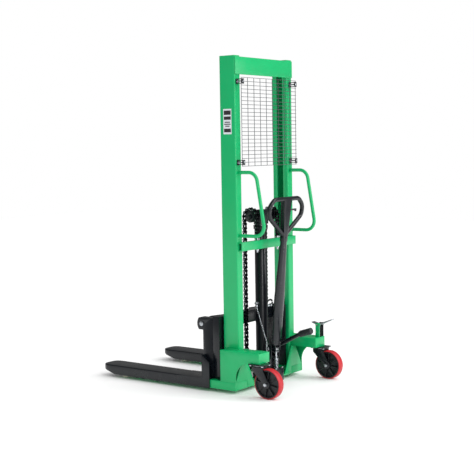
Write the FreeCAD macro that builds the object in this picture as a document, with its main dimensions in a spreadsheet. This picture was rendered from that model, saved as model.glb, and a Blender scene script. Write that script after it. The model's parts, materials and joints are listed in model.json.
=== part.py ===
import FreeCAD, Part
import Sketcher
import math
import os
import re

from FreeCAD import Vector

# Walkie stacker: a hand-pumped pedestrian lift truck with a single mast.
# X runs across the truck (+X is the operator's right), Y forward to the fork tips, Z up from the floor.
# Lengths along Y are given from the rear face of the mast; MAST_Y moves them so that the
# origin is the middle of the truck's footprint, on the floor.

SIZES = [
    # mast
    ("mast_height", 2080), ("mast_width", 630), ("upright_width", 60), ("upright_depth", 116),
    ("upright_wall", 6), ("lip_width", 35), ("corner_radius", 9), ("beam_drop", 7), ("beam_height", 108),
    ("beam_wall", 6), ("beam_inset", 2), ("tie_top", 938), ("tie_height", 54), ("tie_depth", 28),
    ("tie_wall", 6), ("tie_inset", 15),
    # base frame
    ("base_width", 756), ("floor_gap", 24), ("base_top", 272), ("base_front", 98), ("base_rear", 17),
    ("side_wall", 8), ("cover_wall", 6), ("floor_plate", 12), ("arm_width", 112), ("arm_reach", 196),
    ("arm_bottom", 209), ("arm_wall", 5), ("arch_radius", 110), ("gusset_wall", 8), ("gusset_foot", 205),
    ("gusset_peak", 36),
    # straddle legs and load rollers
    ("leg_width", 128), ("leg_height", 50), ("leg_wall", 5), ("leg_reach", 965),
    ("load_roller_diameter", 74), ("load_roller_width", 60), ("load_roller_reach", 925),
    ("load_axle_diameter", 20), ("roller_slot_gap", 4),
    # forks
    ("fork_spread", 776), ("fork_width", 150), ("fork_reach", 1095), ("fork_heel", 178), ("fork_top", 84),
    ("fork_bottom", 22), ("fork_wall", 5), ("nose_length", 115), ("nose_rise", 36), ("nose_radius", 55),
    ("shank_width", 60), ("shank_depth", 78), ("shank_wall", 18), ("eye_height", 418), ("eye_reach", 88),
    ("eye_radius", 36), ("eye_curve", 60), ("eye_half", 38), ("fork_shaft_diameter", 30),
    ("gusset_front_height", 228), ("gusset_rear_height", 185), ("heel_depth", 60),
    # carriage
    ("carriage_gap", 10), ("bar_depth", 50), ("upper_bar_bottom", 392), ("upper_bar_height", 78),
    ("lower_bar_bottom", 80), ("lower_bar_height", 105), ("bar_half_length", 345),
    ("slide_plate_wall", 12), ("slide_plate_gap", 7), ("slide_plate_rear", 24), ("slide_plate_top", 482),
    ("lug_wall", 20), ("lug_place", 205), ("end_bar_width", 70), ("mast_roller_width", 34),
    ("mast_roller_gap", 0.5), ("stub_diameter", 30), ("lower_stub_height", 138),
    ("upper_stub_height", 424),
    # lift cylinder, crosshead and chains
    ("cylinder_place", 42), ("cylinder_diameter", 80), ("cylinder_bore", 64),
    ("cylinder_foot_height", 34), ("cylinder_top", 1000), ("gland_height", 26), ("gland_diameter", 92),
    ("rod_diameter", 45), ("crosshead_width", 90), ("crosshead_depth", 52), ("crosshead_bottom", 1032),
    ("crosshead_height", 92), ("sheave_height", 1086), ("sheave_place", 38), ("sheave_spread", 224),
    ("sheave_width", 18), ("pitch_radius", 48), ("chain_depth", 20), ("chain_width", 32),
    ("sheave_axle_diameter", 25), ("anchor_diameter", 10), ("anchor_shelf", 178), ("anchor_top", 240),
    ("shelf_wall", 14), ("shelf_half", 22), ("clevis_height", 14), ("chain_seat", 0.3),
    # guard and grab handles
    ("guard_bottom", 1405), ("guard_top", 1946), ("guard_half_width", 300), ("guard_offset", 40),
    ("wire", 3), ("row_pitch", 23), ("column_pitch", 60), ("clip_inset", 24), ("clip_diameter", 12),
    ("clip_head", 6), ("handle_top", 1368), ("handle_bottom", 979), ("handle_out_top", 128),
    ("handle_out_bottom", 194), ("handle_tube", 22), ("handle_bend", 62), ("handle_place", 285),
    # pump, rocker and tiller
    ("pump_width", 84), ("pump_rear", 95), ("pump_front", 5), ("pump_top", 108), ("tank_width", 80),
    ("tank_rear", 46), ("tank_front", 7), ("tank_top", 180), ("cheek_wall", 6), ("pivot_place", 36),
    ("pivot_height", 242), ("pivot_diameter", 16), ("cheek_top", 262), ("plunger_place", 64),
    ("plunger_diameter", 14), ("seat_height", 170), ("seat_diameter", 34), ("push_roller_diameter", 24),
    ("push_back", 30), ("push_drop", 8), ("push_gap", 3.2), ("spring_outer", 32), ("spring_inner", 22),
    ("pipe_diameter", 8), ("pipe_top", 519), ("pipe_knee", 288), ("pipe_bend", 14),
    ("fitting_diameter", 18), ("hub_half", 32), ("hub_wall", 7), ("plate_place", 20), ("plate_wall", 8),
    ("socket_half", 28), ("flange_half", 44), ("socket_reach", 18), ("socket_low", 16),
    ("socket_top", 40), ("head_half", 15), ("head_height", 7), ("tiller_back", 26), ("tiller_lean", 5.95),
    ("tiller_foot", 30), ("column_length", 687), ("column_wall", 3), ("column_wide", 94),
    ("column_deep", 48), ("column_wide_top", 50), ("column_deep_top", 33), ("column_shoulder", 300),
    ("loop_bend", 55), ("head_width", 80), ("head_thick", 30), ("head_length", 241), ("head_foot_width", 40), ("loop_tube", 28),
    ("loop_half_width", 202), ("loop_top_half", 135), ("loop_height", 241), ("pedal_side", 62),
    ("pedal_back", 200), ("pedal_height", 329), ("pedal_end", 290), ("pedal_end_height", 361),
    ("pedal_rod", 26), ("pedal_grip", 40), ("pedal_grip_length", 88), ("trigger_height", 170),
    ("trigger_length", 94), ("trigger_place", 20), ("trigger_thick", 10), ("trigger_pin", 8),
    ("trigger_tip", 7), ("slot_play", 2), ("pedal_bend", 30), ("pedal_boss", 18), ("valve_shaft", 10),
    ("valve_back", 18), ("valve_drop", 26), ("valve_rise", 52), ("valve_gap", 0.2),
    # casters
    ("caster_x", 348), ("hub_back", 248), ("trail", 66), ("wheel_diameter", 186), ("wheel_width", 50),
    ("tread_depth", 6), ("caster_plate_wide", 92), ("caster_plate_long", 110), ("caster_plate_wall", 6),
    ("race_height", 7), ("race_diameter", 68), ("crown_diameter", 96), ("crown_wall", 5.7),
    ("fork_gap", 3), ("yoke_wall", 5), ("wheel_axle", 12), ("kingpin_diameter", 28), ("kingpin_bore", 13),
    ("axle_boss", 24), ("yoke_front", 38), ("yoke_rear", 44), ("yoke_shoulder", 22), ("axle_head", 8),
    ("hub_waist", 26), ("hub_core", 22), ("hub_dish", 12), ("hub_side", 1.5), ("rim_wall", 8),
    # parking brake
    ("brake_pivot_back", 176), ("brake_pivot_height", 352), ("brake_shaft", 10),
    ("brake_rod_diameter", 12), ("brake_rod_top", 341), ("shoe_diameter", 20), ("shoe_bottom", 170.7),
    ("pedal_plate_wide", 34), ("pedal_plate_wall", 6), ("post_wall", 8), ("fit_gap", 0.1),
    ("post_gap", 3), ("front_lobe", 50), ("rear_lobe", 104),
]

doc = FreeCAD.newDocument("walkie_stacker")
sheet = doc.addObject("Spreadsheet::Sheet", "Sizes")
for row, (alias, value) in enumerate(SIZES, start=1):
    sheet.set(f"A{row}", alias.replace("_", " "))
    sheet.set(f"B{row}", str(value))
    sheet.setAlias(f"B{row}", alias)
doc.recompute()

ALIAS = re.compile(r"\b(" + "|".join(sorted((name for name, _ in SIZES), key=len, reverse=True)) + r")\b")

# the rear tyre edge and the fork tip are equally far from the origin
MAST_Y = "((hub_back + wheel_diameter / 2 - fork_reach) / 2)"

NODES = []
IN_SIDE_PLANE = FreeCAD.Rotation(0.5, 0.5, 0.5, 0.5)
AXIS_TURN = {
    "x": FreeCAD.Rotation(Vector(0, 1, 0), 90),
    "y": FreeCAD.Rotation(Vector(1, 0, 0), -90),
    "z": FreeCAD.Rotation(),
}


def expr(text):
    """Expression text with the sheet's name put before each alias."""
    return ALIAS.sub(r"Sizes.\1", str(text))


def along(y):
    """Place along Y, measured from the rear face of the mast."""
    return f"({MAST_Y} + ({y}))"


def value(text):
    """Number that an expression has now, for the shapes that are made by code."""
    return float(doc.Sizes.evalExpression(expr(text).replace("Sizes.", "")))


def new(kind, name):
    obj = doc.addObject(kind, name)
    obj.Label = obj.Name
    return obj


def place(obj, x, y, z, turn=None):
    """Bind an object's Placement to the sheet."""
    obj.Placement = FreeCAD.Placement(Vector(), turn or FreeCAD.Rotation())
    obj.setExpression("Placement.Base.x", expr(x))
    obj.setExpression("Placement.Base.y", expr(y))
    obj.setExpression("Placement.Base.z", expr(z))
    return obj


def box(x, y, z, name="Block"):
    """Block between two values on each axis; Y counts from the mast."""
    obj = new("Part::Box", name)
    for prop, (low, high) in zip(("Length", "Width", "Height"), (x, y, z)):
        obj.setExpression(prop, expr(f"({high}) - ({low})"))
    return place(obj, x[0], along(y[0]), z[0])


def rod(axis, x, y, z, diameter, name="Rod"):
    """Cylinder along one axis, whose entry in x, y or z is a (low, high) pair."""
    spans = {"x": x, "y": y, "z": z}
    low, high = spans[axis]
    spans[axis] = low
    obj = new("Part::Cylinder", name)
    obj.setExpression("Radius", expr(f"({diameter}) / 2"))
    obj.setExpression("Height", expr(f"({high}) - ({low})"))
    return place(obj, spans["x"], along(spans["y"]), spans["z"], AXIS_TURN[axis])


def cut(base, *tools, name="Cut"):
    obj = new("Part::Cut", name)
    obj.Base = base
    obj.Tool = tools[0] if len(tools) == 1 else fuse(*tools)
    return obj


def fuse(*parts, name="Fuse"):
    obj = new("Part::MultiFuse", name)
    obj.Shapes = list(parts)
    obj.Refine = True
    return obj


def group(*parts, name="Group"):
    """Several separate solids that share one node."""
    obj = new("Part::Compound", name)
    obj.Links = list(parts)
    return obj


def outline(points, name="Outline"):
    """Closed sketch of straight runs whose corners are bound to the sheet."""
    sketch = new("Sketcher::SketchObject", name)
    spots = [Vector(value(a), value(b), 0) for a, b in points]
    count = len(spots)
    for i in range(count):
        sketch.addGeometry(Part.LineSegment(spots[i], spots[(i + 1) % count]), False)
    for i in range(count):
        sketch.addConstraint(Sketcher.Constraint("Coincident", i, 2, (i + 1) % count, 1))
    for i, (a, b) in enumerate(points):
        for kind, text, now in (("DistanceX", a, spots[i].x), ("DistanceY", b, spots[i].y)):
            number = sketch.addConstraint(Sketcher.Constraint(kind, -1, 1, i, 1, now))
            sketch.setExpression(f"Constraints[{number}]", expr(text))
    return sketch


def side_profile(points, x, name="Profile"):
    """Plate cut to an outline of (Y, Z) corners, between two X values."""
    sketch = outline([(along(y), z) for y, z in points])
    place(sketch, x[0], "0", "0", IN_SIDE_PLANE)
    obj = new("Part::Extrusion", name)
    obj.Base = sketch
    obj.DirMode = "Normal"
    obj.Solid = True
    obj.setExpression("LengthFwd", expr(f"({x[1]}) - ({x[0]})"))
    return obj


def back_profile(points, y, name="Profile"):
    """Plate cut to an outline of (X, Z) corners, from y[1] back to y[0]."""
    sketch = outline(points)
    place(sketch, "0", along(y[1]), "0", FreeCAD.Rotation(Vector(1, 0, 0), 90))
    obj = new("Part::Extrusion", name)
    obj.Base = sketch
    obj.DirMode = "Normal"
    obj.Solid = True
    obj.setExpression("LengthFwd", expr(f"({y[1]}) - ({y[0]})"))
    return obj


def turned(points, x, y, z, axis="z", name="Turned"):
    """Turned piece from (radius, height) corners about an axis through a place."""
    sketch = outline(points)
    sketch.Placement = FreeCAD.Placement(Vector(), FreeCAD.Rotation(Vector(1, 0, 0), 90))
    obj = new("Part::Revolution", name)
    obj.Source = sketch
    obj.Axis = Vector(0, 0, 1)
    obj.Base = Vector(0, 0, 0)
    obj.Angle = 360
    obj.Solid = True
    return place(obj, x, along(y), z, AXIS_TURN[axis])


def scripted(shape, name="Scripted"):
    obj = new("Part::Feature", name)
    obj.Shape = shape
    return obj


def mirrored(side, low, high):
    """X span of the right-hand piece, or of its twin on the left."""
    return (low, high) if side > 0 else (f"-({high})", f"-({low})")


def node(label, obj):
    """Name an object as one of the truck's pieces."""
    obj.Label = label
    NODES.append(obj)
    return obj


def bent_path(corners, bend):
    """Wire through corners whose turns are tangent arcs of one radius."""
    edges = []
    start = corners[0]
    for before, corner, after in zip(corners, corners[1:], corners[2:]):
        into = (corner - before).normalize()
        out = (after - corner).normalize()
        turn = into.getAngle(out)
        reach = bend * math.tan(turn / 2)
        first = corner - into * reach
        last = corner + out * reach
        bisector = (out - into).normalize()
        centre = corner + bisector * (bend / math.cos(turn / 2))
        middle = centre - bisector * bend
        edges.append(Part.LineSegment(start, first).toShape())
        edges.append(Part.Arc(first, middle, last).toShape())
        start = last
    edges.append(Part.LineSegment(start, corners[-1]).toShape())
    return Part.Wire(edges)


def bent_tube(corners, bend, diameter):
    path = bent_path(corners, bend)
    heading = corners[1] - corners[0]
    ring = Part.Wire(Part.makeCircle(diameter / 2, corners[0], heading))
    return path.makePipeShell([ring], True, False)


SIDES = ((-1, "left"), (1, "right"))
HALF_MAST = "(mast_width / 2)"
MAST_INSIDE = "(mast_width / 2 - upright_width)"
HALF_BASE = "(base_width / 2)"
LEG_MIDDLE = "(base_width / 2 - leg_width / 2)"
LEG_TOP = "(floor_gap + leg_height)"
DECK = "(floor_gap + floor_plate)"
KING_Y = "(trail - hub_back)"


# ---------------------------------------------------------------- mast
def upright(side, label):
    """Lipped channel, closed side outwards, whose slot faces the other upright."""
    outer = box(mirrored(side, MAST_INSIDE, HALF_MAST), ("0", "upright_depth"), (LEG_TOP, "mast_height"))
    outer.recompute()
    rounded = new("Part::Fillet", "RoundedUpright")
    rounded.Base = outer
    doc.recompute()
    rail = [i + 1 for i, edge in enumerate(outer.Shape.Edges)
            if edge.Length > value(f"mast_height - {LEG_TOP}") - 1]
    radius = value("corner_radius")
    rounded.Edges = [(i, radius, radius) for i in rail]
    height = (f"{LEG_TOP} - 1", "mast_height - upright_wall")
    inside = box(mirrored(side, f"{MAST_INSIDE} + upright_wall", f"{HALF_MAST} - upright_wall"),
                 ("upright_wall", "upright_depth - upright_wall"), height)
    slot = box(mirrored(side, f"{MAST_INSIDE} - 1", f"{MAST_INSIDE} + upright_wall + 1"),
               ("lip_width", "upright_depth - lip_width"), height)
    node(f"mast_upright_{label}", cut(rounded, inside, slot))


def beams():
    half = f"({HALF_MAST} - beam_inset)"
    top = "(mast_height - beam_drop)"
    node("top_beam", box((f"-{half}", half), ("-beam_wall", "0"), (f"{top} - beam_height", top)))
    half = f"({HALF_MAST} - tie_inset)"
    bar = box((f"-{half}", half), ("-tie_depth", "0"), ("tie_top - tie_height", "tie_top"))
    hollow = box((f"-{half} - 1", f"{half} + 1"), ("tie_wall - tie_depth", "1"),
                 ("tie_top - tie_height + tie_wall", "tie_top - tie_wall"))
    bores = [rod("z", f"{s} * sheave_spread / 2", "sheave_place - pitch_radius",
                 ("tie_top - tie_height - 1", "tie_top + 1"), "anchor_diameter") for s in (-1, 1)]
    node("middle_beam", cut(bar, hollow, *bores))


def guard():
    """Welded mesh: rows of wire laid on columns of wire, held by four clips."""
    half = value("guard_half_width")
    low = value("guard_bottom")
    high = value("guard_top")
    wire = value("wire")
    back = value(along("-guard_offset"))
    rows = int((high - low - wire) // value("row_pitch"))
    columns = int((2 * half - wire) // value("column_pitch"))
    bars = []
    for i in range(rows + 1):
        z = low + (high - low - wire) * i / rows
        bars.append(Part.makeBox(2 * half, wire, wire, Vector(-half, back - wire, z)))
    for i in range(columns + 1):
        x = -half + (2 * half - wire) * i / columns
        bars.append(Part.makeBox(wire, wire, high - low, Vector(x, back, low)))
    node("mesh_guard", scripted(bars[0].multiFuse(bars[1:])))
    clips = []
    for s in (-1, 1):
        for z in ("guard_top - clip_inset", "guard_bottom + clip_inset"):
            x = f"{s} * ({HALF_MAST} - clip_inset)"
            clips.append(rod("y", x, ("wire - guard_offset", "0"), z, "clip_diameter"))
            clips.append(rod("y", x, ("-guard_offset - wire - clip_head", "-guard_offset - wire"), z,
                             "clip_diameter * 1.6"))
    node("guard_clips", group(*clips))


def grab_handles():
    tubes = []
    for s in (-1, 1):
        x = s * value("handle_place")
        rear = value(MAST_Y)
        corners = [Vector(x, rear, value("handle_top")),
                   Vector(x, rear - value("handle_out_top"), value("handle_top")),
                   Vector(x, rear - value("handle_out_bottom"), value("handle_bottom")),
                   Vector(x, rear, value("handle_bottom"))]
        tubes.append(scripted(bent_tube(corners, value("handle_bend"), value("handle_tube"))))
    node("grab_handles", group(*tubes))


# ---------------------------------------------------------------- base frame
def base_side(side, label):
    """Outer plate whose rear edge arches up to the caster arm, with the cover beside the mast."""
    inner = f"({HALF_BASE} - side_wall)"
    through = mirrored(side, f"{inner} - 1", f"{HALF_BASE} + 1")
    plate = box(mirrored(side, inner, HALF_BASE), ("-arm_reach", "base_front"), ("floor_gap", "base_top"))
    below = box(through, ("-arm_reach - 1", "-base_rear - arch_radius"), ("floor_gap - 1", "arm_bottom"))
    arch = rod("x", through, "-base_rear - arch_radius", "arm_bottom - arch_radius", "2 * arch_radius")
    foot = box(through, ("-base_rear - arch_radius", "-base_rear"),
               ("floor_gap - 1", "arm_bottom - arch_radius"))
    leg_room = box(through, ("-base_rear + 1", "base_front + 1"), ("floor_gap - 1", LEG_TOP))
    shaped = cut(plate, below, arch, foot, leg_room)
    cover = box(mirrored(side, HALF_MAST, inner), ("0", "base_front"), ("base_top - cover_wall", "base_top"))
    front = box(mirrored(side, HALF_MAST, inner), ("base_front - cover_wall", "base_front"),
                (LEG_TOP, "base_top - cover_wall"))
    node(f"base_side_{label}", fuse(shaped, cover, front))


def caster_arm(side, label):
    """Box arm from the mast back over the caster, closed at its end."""
    inner = f"({HALF_BASE} - arm_width)"
    outer = f"({HALF_BASE} - side_wall)"
    arm = box(mirrored(side, inner, outer), ("-arm_reach", "0"), ("arm_bottom", "base_top"))
    hollow = box(mirrored(side, f"{inner} + arm_wall", f"{outer} - arm_wall"), ("arm_wall - arm_reach", "1"),
                 ("arm_bottom + arm_wall", "base_top - arm_wall"))
    king = rod("z", f"{side} * caster_x", KING_Y, ("arm_bottom - 1", "base_top + 1"), "kingpin_bore + 3")
    node(f"caster_arm_{label}", cut(arm, hollow, king))


def leg(side, label):
    """Straddle leg with the slot and axle of its load roller."""
    low = f"({HALF_BASE} - leg_width)"
    centre = f"{side} * {LEG_MIDDLE}"
    axis = ("load_roller_reach", "load_roller_diameter / 2")
    tube = box(mirrored(side, low, HALF_BASE), ("-base_rear + 1", "leg_reach"), ("floor_gap", LEG_TOP))
    hollow = box(mirrored(side, f"{low} + leg_wall", f"{HALF_BASE} - leg_wall"),
                 ("leg_wall", "leg_reach - leg_wall"), ("floor_gap + leg_wall", f"{LEG_TOP} - leg_wall"))
    half = "(load_roller_width / 2 + roller_slot_gap)"
    clear = "(load_roller_diameter / 2 + roller_slot_gap)"
    slot = box((f"{centre} - {half}", f"{centre} + {half}"),
               (f"load_roller_reach - {clear}", f"load_roller_reach + {clear}"),
               ("floor_gap - 1", f"{LEG_TOP} + 1"))
    bore = rod("x", mirrored(side, low, HALF_BASE), *axis, "load_axle_diameter")
    axle = rod("x", mirrored(side, f"{low} + 1", f"{HALF_BASE} - 1"), *axis, "load_axle_diameter")
    node(f"leg_{label}", group(cut(tube, hollow, slot, bore), axle))


def load_roller(side, label):
    bore = "(load_axle_diameter / 2 + fit_gap)"
    rim = "(load_roller_diameter / 2)"
    half = "(load_roller_width / 2)"
    corners = [(bore, f"-{half}"), (f"{rim} - 3", f"-{half}"), (rim, f"-{half} + 3"), (rim, f"{half} - 3"),
               (f"{rim} - 3", half), (bore, half)]
    node(f"load_roller_{label}", turned(corners, f"{side} * {LEG_MIDDLE}", "load_roller_reach", rim, "x"))


def deck():
    """Floor plate between the legs that carries the mast, cylinder and pump."""
    half = f"({HALF_BASE} - leg_width)"
    node("floor_plate", box((f"-{half}", half), ("-base_rear", "base_front + 12"), ("floor_gap", DECK)))
    plates = []
    for s in (-1, 1):
        outer = f"({HALF_BASE} - side_wall)"
        peak = f"({HALF_BASE} - arm_width + gusset_peak)"
        corners = [(f"{s} * {outer}", LEG_TOP), (f"{s} * {peak}", "arm_bottom"),
                   (f"{s} * {MAST_INSIDE}", "arm_bottom"), (f"{s} * ({HALF_BASE} - gusset_foot)", DECK),
                   (f"{s} * ({HALF_BASE} - leg_width)", DECK), (f"{s} * ({HALF_BASE} - leg_width)", LEG_TOP)]
        plates.append(back_profile(corners, ("-base_rear", "gusset_wall - base_rear")))
    node("rear_gussets", group(*plates))


# ---------------------------------------------------------------- forks and carriage
def fork(side, label):
    """Pallet fork: a sheath over the leg, a heel gusset and a shank hung from its eye."""
    half = "(fork_spread / 2)"
    inner = "(fork_spread / 2 - fork_width)"
    middle = "(fork_spread / 2 - fork_width / 2)"
    corners = [("fork_heel", "fork_bottom"), ("fork_reach - nose_length", "fork_bottom"),
               ("fork_reach", "fork_bottom + nose_rise"), ("fork_reach", "fork_top"),
               ("fork_heel", "fork_top")]
    blade = side_profile(corners, mirrored(side, inner, half))
    cavity = box(mirrored(side, f"{inner} + fork_wall", f"{half} - fork_wall"),
                 ("fork_heel - 1", "fork_reach - nose_length - fork_wall"),
                 ("fork_bottom - 1", "fork_top - fork_wall"))
    corners_off = []
    for centre, outside in ((f"({half} - nose_radius)", (f"{half} - nose_radius", f"{half} + 1")),
                            (f"({inner} + nose_radius)", (f"{inner} - 1", f"{inner} + nose_radius"))):
        block = box(mirrored(side, *outside), ("fork_reach - nose_radius", "fork_reach + 1"),
                    ("fork_bottom - 1", "fork_top + 1"))
        round_end = rod("z", f"{side} * {centre}", "fork_reach - nose_radius",
                        ("fork_bottom - 2", "fork_top + 2"), "2 * nose_radius")
        corners_off.append(cut(block, round_end))
    blade = cut(blade, cavity, *corners_off)
    front = "(fork_heel + shank_depth)"
    shank_x = (f"{middle} - shank_width / 2", f"{middle} + shank_width / 2")
    post = box(mirrored(side, *shank_x), ("fork_heel", front), ("fork_top", "eye_height + eye_half"))
    eye = rod("x", mirrored(side, *shank_x), "fork_heel + eye_reach + eye_radius - eye_curve", "eye_height",
              "2 * eye_curve")
    above = box(mirrored(side, f"{shank_x[0]} - 1", f"{shank_x[1]} + 1"), ("0", "fork_reach"),
                ("eye_height + eye_half", "mast_height"))
    below = box(mirrored(side, f"{shank_x[0]} - 1", f"{shank_x[1]} + 1"), ("0", "fork_reach"),
                ("0", "eye_height - eye_half"))
    behind = box(mirrored(side, f"{shank_x[0]} - 1", f"{shank_x[1]} + 1"), ("0", "fork_heel"),
                 ("fork_top", "mast_height"))
    channel = box(mirrored(side, f"{shank_x[0]} + shank_wall", f"{shank_x[1]} - shank_wall"),
                  ("fork_heel - 1", f"{front} - shank_wall"), ("fork_top + 1", "eye_height - eye_half - 2"))
    bore = rod("x", mirrored(side, f"{shank_x[0]} - 1", f"{shank_x[1]} + 1"), "fork_heel + eye_reach",
               "eye_height", "fork_shaft_diameter + 2 * fit_gap")
    front = "(fork_heel + heel_depth)"
    heel = side_profile([("fork_heel", "fork_top"), (front, "fork_top"), (front, "gusset_front_height"),
                         ("fork_heel", "gusset_rear_height")], mirrored(side, f"{half} - fork_wall", half))
    web = box(mirrored(side, f"{middle} + shank_width / 2", f"{half} - fork_wall"),
              (f"{front} - fork_wall", front), ("fork_top", "gusset_front_height"))
    shaped_eye = cut(eye, above, below, behind)
    node(f"fork_{label}", cut(fuse(blade, post, shaped_eye, heel, web), channel, bore))


def carriage():
    """Frame that climbs inside the mast: slide plates, cross bars, end bars and the shaft lugs."""
    rear = "(upright_depth + carriage_gap)"
    front = f"({rear} + bar_depth)"
    lug_front = "(fork_heel + eye_reach + eye_radius - 8)"
    shelf = ("anchor_shelf - shelf_wall", "anchor_shelf")
    pieces = []
    bores = []
    for low, tall in (("upper_bar_bottom", "upper_bar_height"), ("lower_bar_bottom", "lower_bar_height")):
        pieces.append(box(("-bar_half_length", "bar_half_length"), (rear, front), (low, f"{low} + {tall}")))
    for s in (-1, 1):
        outside = f"({MAST_INSIDE} - slide_plate_gap)"
        pieces.append(box(mirrored(s, f"{outside} - slide_plate_wall", outside),
                          ("slide_plate_rear", f"{rear} + 1"), ("lower_bar_bottom", "slide_plate_top")))
        pieces.append(box(mirrored(s, "bar_half_length - end_bar_width", "bar_half_length"), (rear, front),
                          ("lower_bar_bottom", "upper_bar_bottom + 1")))
        for z in ("lower_stub_height", "upper_stub_height"):
            pieces.append(rod("x", mirrored(s, f"{outside} - 1", f"{HALF_MAST} - upright_wall - 10"),
                              "upright_depth / 2", z, "stub_diameter"))
        corners = [(f"{front} - 1", "upper_bar_bottom"), (lug_front, "upper_bar_bottom"),
                   (lug_front, "eye_height + eye_radius - 6"),
                   (f"{front} - 1", "upper_bar_bottom + upper_bar_height")]
        pieces.append(side_profile(corners, mirrored(s, "lug_place", "lug_place + lug_wall")))
        bores.append(rod("x", mirrored(s, "lug_place - 1", "lug_place + lug_wall + 1"),
                         "fork_heel + eye_reach", "eye_height", "fork_shaft_diameter"))
        chain_x = "sheave_spread / 2"
        pieces.append(box(mirrored(s, f"{chain_x} - shelf_half", f"{chain_x} + shelf_half"),
                          ("sheave_place + pitch_radius - 18", f"{rear} + 1"), shelf))
        bores.append(rod("z", f"{s} * {chain_x}", "sheave_place + pitch_radius",
                         (f"{shelf[0]} - 1", f"{shelf[1]} + 1"), "anchor_diameter"))
    node("carriage_frame", cut(fuse(*pieces), *bores))
    half = "(fork_spread / 2 - fork_width / 2 + shank_width / 2 + 5)"
    node("fork_shaft", rod("x", (f"-{half}", half), "fork_heel + eye_reach", "eye_height",
                           "fork_shaft_diameter"))


def mast_roller(side, label, height, level):
    rim = "(upright_depth / 2 - upright_wall - mast_roller_gap)"
    bore = "(stub_diameter / 2 + fit_gap)"
    start = f"({HALF_MAST} - upright_wall - 10 - mast_roller_width)"
    middle = f"({start} + mast_roller_width / 2)"
    half = "(mast_roller_width / 2)"
    corners = [(bore, f"-{half}"), (f"{rim} - 2", f"-{half}"), (rim, f"-{half} + 2"), (rim, f"{half} - 2"),
               (f"{rim} - 2", half), (bore, half)]
    turned_roller = turned(corners, f"{side} * {middle}", "upright_depth / 2", height, "x")
    node(f"mast_roller_{level}_{label}", turned_roller)


# ---------------------------------------------------------------- lift cylinder and chains
def cylinder():
    y = "cylinder_place"
    foot_top = f"({DECK} + cylinder_foot_height)"
    half = "(gland_diameter / 2)"
    foot = box((f"-{half}", half), ("-pump_front", "cylinder_place + gland_diameter / 2"), (DECK, foot_top))
    tube = rod("z", "0", y, (foot_top, "cylinder_top"), "cylinder_diameter")
    bore = rod("z", "0", y, (f"{foot_top} + 12", "cylinder_top + 1"), "cylinder_bore")
    node("cylinder_tube", cut(fuse(foot, tube), bore))
    ring = rod("z", "0", y, ("cylinder_top", "cylinder_top + gland_height"), "gland_diameter")
    hole = rod("z", "0", y, ("cylinder_top - 1", "cylinder_top + gland_height + 1"),
               "rod_diameter + 2 * fit_gap")
    node("cylinder_gland", cut(ring, hole))
    node("piston_rod", rod("z", "0", y, (f"{foot_top} + 16", "crosshead_bottom"), "rod_diameter"))
    half = "(crosshead_width / 2)"
    middle = "sheave_place"
    block = box((f"-{half}", half), (f"{middle} - crosshead_depth / 2", f"{middle} + crosshead_depth / 2"),
                ("crosshead_bottom", "crosshead_bottom + crosshead_height"))
    reach = "(sheave_spread / 2 + sheave_width / 2 + 10)"
    bore = rod("x", (f"-{half} - 1", f"{half} + 1"), middle, "sheave_height", "sheave_axle_diameter")
    axle = rod("x", (f"-{reach}", reach), middle, "sheave_height", "sheave_axle_diameter")
    node("crosshead", group(cut(block, bore), axle))


def sheave(side, label):
    root = "(pitch_radius - chain_depth / 2)"
    bore = "(sheave_axle_diameter / 2 + fit_gap)"
    half = "(sheave_width / 2)"
    corners = [(bore, f"-{half}"), (root, f"-{half}"), (root, half), (bore, half)]
    wheel = turned(corners, f"{side} * sheave_spread / 2", "sheave_place", "sheave_height", "x")
    node(f"chain_sheave_{label}", wheel)


def chains():
    """Each chain: a rear run to the middle beam, a wrap over its sheave and a front run to the carriage."""
    wraps = []
    fronts = []
    rears = []
    low = "pitch_radius - chain_depth / 2"
    high = "pitch_radius + chain_depth / 2"
    for s in (-1, 1):
        middle = f"{s} * sheave_spread / 2"
        x = (f"{middle} - chain_width / 2", f"{middle} + chain_width / 2")
        wide = (f"{x[0]} - 1", f"{x[1]} + 1")
        ring = rod("x", x, "sheave_place", "sheave_height", f"2 * ({high})")
        hole = rod("x", wide, "sheave_place", "sheave_height", f"2 * ({low} + chain_seat)")
        outside = "pitch_radius + chain_depth"
        under = box(wide, (f"sheave_place - ({outside})", f"sheave_place + {outside}"),
                    (f"sheave_height - ({outside})", "sheave_height"))
        wraps.append(cut(ring, hole, under))
        fronts.append(box(x, (f"sheave_place + {low}", f"sheave_place + {high}"),
                          ("anchor_top", "sheave_height")))
        rears.append(box(x, (f"sheave_place - ({high})", f"sheave_place - ({low})"),
                         ("tie_top + clevis_height", "sheave_height")))
    node("chain_wraps", group(*wraps))
    node("chain_front_runs", group(*fronts))
    node("chain_rear_runs", group(*rears))


def anchor(x, y, shelf, thickness, top, up):
    """Threaded anchor with its nut below the shelf and its clevis at the chain."""
    under = f"{shelf} - {thickness}"
    bolt = rod("z", x, y, (f"{under} - 22", f"{up} + 1"), "anchor_diameter")
    nut = rod("z", x, y, (f"{under} - 10", under), "anchor_diameter * 1.9")
    clevis = box((f"{x} - chain_width / 2", f"{x} + chain_width / 2"),
                 (f"{y} - chain_depth / 2", f"{y} + chain_depth / 2"), (up, top))
    return fuse(bolt, nut, clevis)


def anchors():
    front = []
    rear = []
    for s in (-1, 1):
        x = f"{s} * sheave_spread / 2"
        front.append(anchor(x, "(sheave_place + pitch_radius)", "anchor_shelf", "shelf_wall", "anchor_top",
                            "anchor_top - 22"))
        rear.append(anchor(x, "(sheave_place - pitch_radius)", "tie_top", "tie_height",
                           "tie_top + clevis_height", "tie_top"))
    node("carriage_chain_anchors", group(*front))
    node("beam_chain_anchors", group(*rear))


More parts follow.
